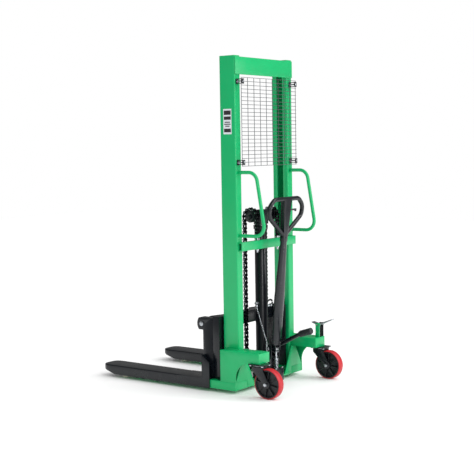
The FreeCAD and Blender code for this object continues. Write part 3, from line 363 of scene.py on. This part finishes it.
def link_plate(bm, first, second, x, thick, tall, mat=0):
    """Side plate of a chain link: two round ends with a waist, across two pins."""
    first = Vector(first)
    second = Vector(second)
    ahead = (second - first).normalized()
    across = Vector((1, 0, 0)).cross(ahead)
    outline = []
    for centre, sign in ((second, 1), (first, -1)):
        for k in range(5):
            angle = math.radians(-72 + 36 * k)
            outline.append(centre + (ahead * math.cos(angle) + across * math.sin(angle)) * tall / 2 * sign)
        outline.append((first + second) / 2 + across * sign * tall * 0.27)
    sheets = [[bm.verts.new(Vector((x + dx, p.y, p.z))) for p in outline] for dx in (-thick / 2, thick / 2)]
    count = len(outline)
    for sheet in sheets:
        bm.faces.new(sheet).material_index = mat
    for k in range(count):
        bm.faces.new((sheets[0][k], sheets[0][(k + 1) % count], sheets[1][(k + 1) % count],
                      sheets[1][k])).material_index = mat


def links(bm, x, pins, width, tall):
    """Roller chain through its pins: outer and inner links take turns, with a roller on every pin."""
    for i, (first, second) in enumerate(zip(pins, pins[1:])):
        place = width * (0.30 if i % 2 else 0.40)
        for sign in (-1, 1):
            link_plate(bm, first, second, x + sign * place, width * 0.085, tall)
    for y, z in ((p[1], p[2]) for p in pins):
        drum(bm, (x - width / 2, y, z), (x + width / 2, y, z), tall * 0.20, 10, mat=1)
        drum(bm, (x - width * 0.25, y, z), (x + width * 0.25, y, z), tall * 0.36, 12)


# ---------------------------------------------------------------- CAD pieces with their real edges
# Pieces whose edges are rounder than a ground edge, because they are cast, formed or moulded.
UNIT_EDGES = {
    "top_beam": 5 * MM, "caster_arm_left": 3 * MM, "caster_arm_right": 3 * MM, "oil_tank": 4 * MM,
    "pump_block": 3 * MM, "pump_rocker": 2.5 * MM, "tiller_arm": 3 * MM, "mesh_guard": 0.8 * MM,
    "caster_tread_left": 2 * MM, "caster_tread_right": 2 * MM, "brake_pedal": 1.8 * MM,
    "foot_pedal_grip": 4 * MM, "crosshead": 4 * MM, "leg_left": 3 * MM, "leg_right": 3 * MM,
}
# Pieces with outlines too hollow for whole flat faces.
HOLLOW_OUTLINES = ("base_side_left", "base_side_right")
# Pieces that are made again below, with their own detail.
REBUILT = {"chain_wraps", "chain_front_runs", "chain_rear_runs", "plunger_spring", "guard_clips",
           "caster_yoke_left", "caster_yoke_right", "fork_left", "fork_right"}
for node in sorted(set(NODES) - REBUILT):
    dressed(node, UNIT_EDGES.get(node, GROUND_EDGE))


def fork(side, label):
    """Fork whose outer top edge is rolled from the tip to the wear plate, and plain from there back."""
    node = f"fork_{label}"
    low, high = corners_of(node)
    outer = high.x if side > 0 else low.x
    deck = RECORD["mounts"][0]["pos_m"][2]
    rolled_from = 0.276
    step = low.y + rolled_from * (high.y - low.y)
    bm = cad_copy(node)
    bmesh.ops.bisect_plane(bm, geom=bm.verts[:] + bm.edges[:] + bm.faces[:], plane_co=(0, step, 0),
                           plane_no=(0, 1, 0), dist=0.01 * MM)
    rolled = [e for e in bm.edges if all(abs(v.co.z - deck) < 0.1 * MM and v.co.y > step - 0.1 * MM
                                         for v in e.verts)
              and len(e.link_faces) == 2 and e.calc_face_angle() > math.radians(40)]
    bmesh.ops.bevel(bm, geom=rolled, offset=7 * MM, offset_type="OFFSET", segments=3, profile=0.5,
                    affect="EDGES", clamp_overlap=True, material=-1)
    break_edges(bm, 1.4 * MM, angle=40)
    piece(bm, f"{node}_dressed", "carriage", [BLACK], [node])
    bm = bmesh.new()
    middle = (low.x + high.x) / 2
    heel = low.y
    for x in (middle - 30 * MM, middle + 30 * MM):
        bead(bm, (x, heel + 4 * MM, deck), (x, heel + 74 * MM, deck))
    shank_front = heel + 78 * MM
    bead(bm, (middle - 28 * MM, shank_front, deck), (middle + 28 * MM, shank_front, deck))
    inward = outer - side * 5 * MM
    bead(bm, (inward, heel + 6 * MM, deck), (inward, heel + 54 * MM, deck))
    piece(bm, f"fork_{label}_weld_beads", "carriage", [BLACK])


def yoke(label):
    """Pressed yoke in black, its through bolt and lock nuts in zinc."""
    node = f"caster_yoke_{label}"
    pin = joint_place(f"wheel_{label}_turn")
    bolt_radius = 10.2 * MM
    cheek_reach = 32 * MM
    bm = cad_copy(node)
    break_edges(bm, 1.4 * MM)
    for face in bm.faces:
        spots = [math.hypot(v.co.y - pin[1], v.co.z - pin[2]) for v in face.verts]
        if max(spots) < bolt_radius and min(abs(v.co.x - pin[0]) for v in face.verts) > cheek_reach:
            face.material_index = 1
    piece(bm, f"{node}_dressed", f"swivel_{label}", [BLACK, ZINC], [node])
    bm = bmesh.new()
    low, high = corners_of(node)
    for sign, reach in ((-1, low.x), (1, high.x)):
        start = (reach - sign * 7.5 * MM, pin[1], pin[2])
        hexagon(bm, start, (reach + sign * 1 * MM, pin[1], pin[2]), 19 * MM)
        drum(bm, (reach, pin[1], pin[2]), (reach + sign * 3 * MM, pin[1], pin[2]), 5 * MM, 20, 0.8 * MM)
    piece(bm, f"caster_{label}_lock_nuts", f"swivel_{label}", [ZINC])


def wheel(label):
    """Ribs and rings cast into both faces of a wheel's hub."""
    low, high = corners_of(f"caster_hub_{label}")
    centre = (low + high) / 2
    rim = (high.z - low.z) / 2
    face = (high.x - low.x) / 2
    ribs = 8
    bm = bmesh.new()
    for sign in (-1, 1):
        outer = centre.x + sign * (face - 2.5 * MM)
        inner = centre.x + sign * (face - 15 * MM)
        for k in range(ribs):
            angle = math.tau * k / ribs + math.radians(11)
            turn = (Matrix.Translation(centre) @ Matrix.Rotation(angle, 4, "X")
                    @ Matrix.Translation(-centre))
            part = bmesh.new()
            slab(part, (min(outer, inner), centre.y - 3 * MM, centre.z + 22 * MM),
                 (max(outer, inner), centre.y + 3 * MM, centre.z + rim - 9 * MM), 1.2 * MM)
            bmesh.ops.transform(part, matrix=turn, verts=part.verts)
            mesh = bpy.data.meshes.new("rib")
            part.to_mesh(mesh)
            part.free()
            bm.from_mesh(mesh)
            bpy.data.meshes.remove(mesh)
        tall = centre.x + sign * (face - 0.5 * MM)
        drum(bm, (tall - sign * 3 * MM, centre.y, centre.z), (tall, centre.y, centre.z), 23 * MM, 40, 1 * MM)
    piece(bm, f"wheel_{label}_ribs", f"wheel_{label}", [BLACK_CAST])


def caster_bolts():
    """Four bolts that hold each caster's plate, and the ball race's pressed ring."""
    low, high = corners_of("caster_mounts")
    plate = high.z
    under = plate - 6 * MM
    bm = bmesh.new()
    rings = bmesh.new()
    for side in (-1, 1):
        x = side * (high.x - 46 * MM)
        y = (low.y + high.y) / 2
        for dx in (-36 * MM, 36 * MM):
            for dy in (-43 * MM, 43 * MM):
                hexagon(bm, (x + dx, y + dy, under), (x + dx, y + dy, under - 7 * MM), 13 * MM)
        drum(rings, (x, y, plate - 7 * MM), (x, y, plate - 12.6 * MM), 40 * MM, 40, 1.5 * MM)
    piece(bm, "caster_plate_bolts", "root", [ZINC])
    piece(rings, "caster_race_rings", "root", [STEEL])


def chains():
    """Both lift chains as links: the wrap and front run ride the piston; the rear run rides no body, and its
    placing is baked into its mesh.
    """
    low, high = corners_of("chain_wraps")
    sheave = joint_place("sheave_right_turn")
    radius = (high.y - low.y) / 2 - 10 * MM
    bottom = corners_of("chain_front_runs")[0].z
    foot = corners_of("chain_rear_runs")[0].z
    width = (high.x - abs(sheave[0])) * 2
    steps = 6
    run = sheave[2] - bottom
    count = 2 * round(run / CHAIN_PITCH / 2)
    front = [(0, sheave[1] + radius, sheave[2] - run * i / count) for i in range(count + 1)]
    wrap = [(0, sheave[1] + radius * math.cos(math.pi * i / steps),
             sheave[2] + radius * math.sin(math.pi * i / steps)) for i in range(steps + 1)]
    run = sheave[2] - foot
    count = 2 * round(run / CHAIN_PITCH / 2)
    rear = [(0, sheave[1] - radius, sheave[2] - run * i / count) for i in range(count + 1)]
    for side, label in SIDES:
        x = side * abs(sheave[0])
        for name, pins, node in (("wrap", wrap, "chain_wraps"), ("front_run", front, "chain_front_runs"),
                                 ("rear_run", rear, "chain_rear_runs")):
            bm = bmesh.new()
            links(bm, x, pins, width, CHAIN_TALL)
            body = None if name == "rear_run" else "piston"
            made = piece(bm, f"chain_{name}_{label}", body, [CHAIN, CHAIN_PIN], [node])
            if name == "front_run":
                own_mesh(made)
            if name == "rear_run":
                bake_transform(made)


def spring():
    """Compression spring over the pump plunger, ground flat at both ends."""
    low, high = corners_of("plunger_spring")
    middle = (low + high) / 2
    wire = 2.4 * MM
    radius = (high.x - low.x) / 2 - wire - 0.2 * MM
    coils = 7.5
    turns = 20
    points = []
    for i in range(int(coils * turns) + 1):
        share = i / (coils * turns)
        angle = math.tau * coils * share
        rise = min(max((share - 0.09) / 0.82, 0.0), 1.0)
        height = low.z + wire + (high.z - low.z - 2 * wire) * (0.04 * share + 0.96 * rise)
        points.append((middle.x + radius * math.cos(angle), middle.y + radius * math.sin(angle), height))
    bm = bmesh.new()
    swept(bm, points, [wire] * len(points), 10)
    made = piece(bm, "pump_spring_coil", BODY_OF["plunger_spring"], [ZINC], ["plunger_spring"])
    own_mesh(made)


def clips():
    """Guard clips: a black box strap from the mast to the guard, with a bright washer, bolt and nut."""
    low, high = corners_of("guard_clips")
    guard_low, guard_high = corners_of("mesh_guard")
    bm = bmesh.new()
    mast = high.y
    for x in (low.x + 9.6 * MM, high.x - 9.6 * MM):
        for z in (guard_high.z - 24 * MM, guard_low.z + 24 * MM):
            slab(bm, (x - 13 * MM, mast - 3 * MM, z - 16 * MM), (x + 13 * MM, mast, z + 16 * MM), 1 * MM)
            for rise in (-13 * MM, 13 * MM):
                slab(bm, (x - 12 * MM, guard_low.y - 2 * MM, z + rise - 2 * MM),
                     (x + 12 * MM, mast - 2 * MM, z + rise + 2 * MM), 0.8 * MM)
            slab(bm, (x - 13 * MM, guard_low.y - 3 * MM, z - 16 * MM),
                 (x + 13 * MM, guard_low.y, z + 16 * MM), 1 * MM)
            drum(bm, (x, mast - 3 * MM, z), (x, mast - 9 * MM, z), 10 * MM, 28, 1 * MM, 1)
            hexagon(bm, (x, guard_low.y - 3 * MM, z), (x, guard_low.y - 8 * MM, z), 13 * MM, 1)
            drum(bm, (x, guard_low.y - 3 * MM, z), (x, mast - 8 * MM, z), 4 * MM, 16, mat=1)
    piece(bm, "guard_clip_straps", "root", [BLACK, ZINC], ["guard_clips"])


def label_plate():
    """Rating label on the left upright: a pale film with blank dark bars."""
    low, high = corners_of("mast_upright_left")
    middle = (low.y + high.y) / 2
    bm = bmesh.new()
    x = low.x
    base = low.z + 0.762 * (high.z - low.z)
    film = 0.5 * MM
    slab(bm, (x - film, middle - 31 * MM, base), (x, middle + 31 * MM, base + 154 * MM))
    bars = ((118, 26, 26), (88, 20, 26), (70, 6, 20), (58, 6, 24), (46, 6, 16), (12, 22, 26))
    for rise, tall, half in bars:
        slab(bm, (x - 0.8 * MM, middle - half * MM, base + rise * MM),
             (x - film, middle + half * MM, base + (rise + tall) * MM), mat=1)
    piece(bm, "rating_label", "root", [VINYL, DARK_INK])


def mast_welds():
    """Beads where the mast, the base, the arms and the beams are joined."""
    mast_low, mast_high = corners_of("mast_upright_right")
    base_high = corners_of("base_side_right")[1]
    arm_low, arm_high = corners_of("caster_arm_right")
    beam_low = corners_of("top_beam")[0]
    tie_low, tie_high = corners_of("middle_beam")
    bm = bmesh.new()
    rear = mast_low.y
    for side in (-1, 1):
        bead(bm, (side * mast_high.x, rear + 6 * MM, base_high.z),
             (side * mast_high.x, base_high.y - 4 * MM, base_high.z))
        bead(bm, (side * (arm_low.x + 4 * MM), rear, base_high.z), (side * mast_high.x, rear, base_high.z))
        bead(bm, (side * arm_high.x, arm_low.y + 4 * MM, base_high.z - 1 * MM),
             (side * arm_high.x, arm_high.y, base_high.z - 1 * MM), 1.8 * MM)
        bead(bm, (side * (mast_low.x + 8 * MM), rear, beam_low.z),
             (side * (mast_high.x - 8 * MM), rear, beam_low.z))
        for z in (tie_low.z, tie_high.z):
            bead(bm, (side * (mast_low.x + 6 * MM), rear, z), (side * (tie_high.x - 2 * MM), rear, z))
        bead(bm, (side * tie_high.x, rear, tie_low.z), (side * tie_high.x, rear, tie_high.z))
    piece(bm, "frame_weld_beads", "root", [GREEN])
    low = corners_of("carriage_frame")[0]
    bm = bmesh.new()
    front = mast_high.y + 60 * MM
    for side in (-1, 1):
        for x in (205 * MM, 225 * MM):
            bead(bm, (side * x, front, low.z + 314 * MM), (side * x, front, low.z + 386 * MM))
        for z in (low.z + 105 * MM, low.z + 312 * MM):
            bead(bm, (side * 275 * MM, front, z), (side * 340 * MM, front, z))
    piece(bm, "carriage_weld_beads", "carriage", [BLACK])


def hydraulics():
    """Fittings on the pressure pipe and the drain, screws on the pump, the filler cap and the drain hose."""
    pipe_low, pipe_high = corners_of("pressure_pipe")
    pump_low, pump_high = corners_of("pump_block")
    tank_low, tank_high = corners_of("oil_tank")
    x = pipe_low.x + 8 * MM
    bm = bmesh.new()
    top = pipe_high.z
    cylinder_y = middle_of("piston_rod").y
    hexagon(bm, (x, cylinder_y, top - 20 * MM), (x, cylinder_y, top - 34 * MM), 15 * MM)
    hexagon(bm, (x - 8 * MM, cylinder_y, top - 9 * MM), (x - 13 * MM, cylinder_y, top - 9 * MM), 15 * MM)
    hexagon(bm, (38 * MM, cylinder_y, top - 40 * MM), (62 * MM, cylinder_y, top - 40 * MM), 20 * MM)
    drum(bm, (62 * MM, cylinder_y, top - 40 * MM), (92 * MM, cylinder_y, top - 40 * MM), 8 * MM, 28, 1 * MM)
    hexagon(bm, (92 * MM, cylinder_y, top - 40 * MM), (104 * MM, cylinder_y, top - 40 * MM), 20 * MM)
    for dx in (-33 * MM, 33 * MM):
        for y in (pump_low.y + 9 * MM, pump_high.y - 9 * MM):
            drum(bm, (dx, y, pump_high.z), (dx, y, pump_high.z + 7 * MM), 6.5 * MM, 24, 0.8 * MM)
    piece(bm, "hydraulic_fittings", "root", [ZINC])
    bm = bmesh.new()
    points = [(reach * MM, cylinder_y, top + rise * MM)
              for reach, rise in ((100, -40), (110, -39), (117, -34), (120, -25), (118, -15), (111, -8),
                                  (100, -5), (84, -6), (62, -10), (38, -14))]
    swept(bm, points, [6 * MM] * len(points), 14)
    cap_y = tank_low.y + 14 * MM
    drum(bm, (0, cap_y, tank_high.z), (0, cap_y, tank_high.z + 5 * MM), 7 * MM, 28, 1 * MM)
    piece(bm, "drain_hose_elbow", "root", [RUBBER])


def controls():
    """Ribs on the foot pedal's grip, nuts on the pivot pin and the black cap on the brake pedal's pivot."""
    low, high = corners_of("foot_pedal_grip")
    x = (low.x + high.x) / 2
    rear = Vector((x, low.y + 7 * MM, high.z - 21 * MM))
    front = Vector((x, high.y - 7 * MM, low.z + 21 * MM))
    heading = (rear - front).normalized()
    ribs = 7
    bm = bmesh.new()
    for k in range(ribs):
        spot = front.lerp(rear, 0.12 + 0.76 * k / (ribs - 1))
        drum(bm, spot - heading * 2 * MM, spot + heading * 2 * MM, 21.2 * MM, 36, 1 * MM)
    piece(bm, "foot_pedal_grip_ribs", "pump_lever", [RUBBER])
    pin_low, pin_high = corners_of("pivot_pin_and_roller")
    pivot = joint_place("tiller_swing")
    bm = bmesh.new()
    for reach, sign in ((pin_low.x, -1), (pin_high.x, 1)):
        hexagon(bm, (reach - sign * 1 * MM, pivot[1], pivot[2]), (reach + sign * 9 * MM, pivot[1], pivot[2]),
                24 * MM)
    piece(bm, "pivot_pin_nuts", "pump_lever", [ZINC])
    bracket = corners_of("brake_bracket")[1]
    y = middle_of("brake_bracket").y
    bm = bmesh.new()
    cap_z = bracket.z - 12 * MM
    drum(bm, (bracket.x, y, cap_z), (bracket.x + 16 * MM, y, cap_z), 11 * MM, 32, 3 * MM)
    piece(bm, "brake_pivot_cap", "brake_pedal", [RUBBER])


for side, label in SIDES:
    fork(side, label)
    yoke(label)
    wheel(label)
caster_bolts()
chains()
spring()
clips()
label_plate()
mast_welds()
hydraulics()
controls()

# ---------------------------------------------------------------- studio
def aimed_light(name, size, power, spot, target):
    """White rectangular lamp at a spot, turned to face its target."""
    data = bpy.data.lights.new(name, "AREA")
    data.shape = "RECTANGLE"
    data.size, data.size_y = size
    data.energy = power
    lamp = bpy.data.objects.new(name, data)
    lamp.location = spot
    lamp.rotation_euler = (Vector(target) - Vector(spot)).to_track_quat("-Z", "Y").to_euler()
    bpy.context.scene.collection.objects.link(lamp)


def studio():
    """Pale floor, a white surround, a broad soft sun overhead and two strip lamps behind the operator."""
    bm = bmesh.new()
    bmesh.ops.create_grid(bm, x_segments=1, y_segments=1, size=14)
    mesh = bpy.data.meshes.new("studio_floor")
    bm.to_mesh(mesh)
    bm.free()
    floor_material, tree, shader, place = start_material("matt white studio floor", Roughness=0.85)
    tinted(tree, shader, noise(tree, place, 0.8, 2.0).outputs["Fac"], "#F6F6F6", "#FAFAFA")
    mesh.materials.append(floor_material)
    floor = bpy.data.objects.new("studio_floor", mesh)
    bpy.context.scene.collection.objects.link(floor)
    world = bpy.data.worlds.new("white studio")
    world.use_nodes = True
    sky = world.node_tree
    path = add(sky, "ShaderNodeLightPath", {})
    dimmed = add(sky, "ShaderNodeMix", {"Factor": path.outputs["Is Glossy Ray"], "A": 0.82, "B": 0.20})
    seen = add(sky, "ShaderNodeMix", {"Factor": path.outputs["Is Camera Ray"], "A": dimmed.outputs["Result"],
                                      "B": 1.0})
    sky.links.new(seen.outputs["Result"], sky.nodes["Background"].inputs["Strength"])
    sky.nodes["Background"].inputs["Color"].default_value = (1, 1, 1, 1)
    bpy.context.scene.world = world
    data = bpy.data.lights.new("broad_overhead", "SUN")
    data.energy = 1.5
    data.angle = math.radians(55)
    lamp = bpy.data.objects.new("broad_overhead", data)
    lamp.rotation_euler = Vector((-0.35, 0.75, -1.0)).to_track_quat("-Z", "Y").to_euler()
    bpy.context.scene.collection.objects.link(lamp)
    middle = (0, 0, 0.9)
    aimed_light("rear_strip", (0.5, 3.0), 60, (1.8, -4.6, 1.6), middle)
    aimed_light("camera_strip", (0.5, 2.4), 50, (-2.6, -4.2, 2.9), (0, 0, 1.8))


def camera():
    """Three-quarter view from behind the operator's left, a little above the middle of the truck."""
    yaw, pitch, roll = (math.radians(a) for a in (53.759, 5.045, -0.908))
    forward = Vector((math.sin(yaw) * math.cos(pitch), math.cos(yaw) * math.cos(pitch), -math.sin(pitch)))
    level = Vector((math.cos(yaw), -math.sin(yaw), 0))
    above = level.cross(forward)
    right = math.cos(roll) * level + math.sin(roll) * above
    up = -math.sin(roll) * level + math.cos(roll) * above
    data = bpy.data.cameras.new("camera")
    data.sensor_width = 36
    data.lens = 82.9
    data.shift_x = -0.0025
    data.shift_y = 0.012
    data.clip_end = 100
    view = bpy.data.objects.new("camera", data)
    view.matrix_world = Matrix((right, up, -forward)).transposed().to_4x4()
    view.location = (-5.698, -4.332, 1.528)
    bpy.context.scene.collection.objects.link(view)
    bpy.context.scene.camera = view


studio()
camera()
bpy.context.scene.view_settings.view_transform = "Standard"
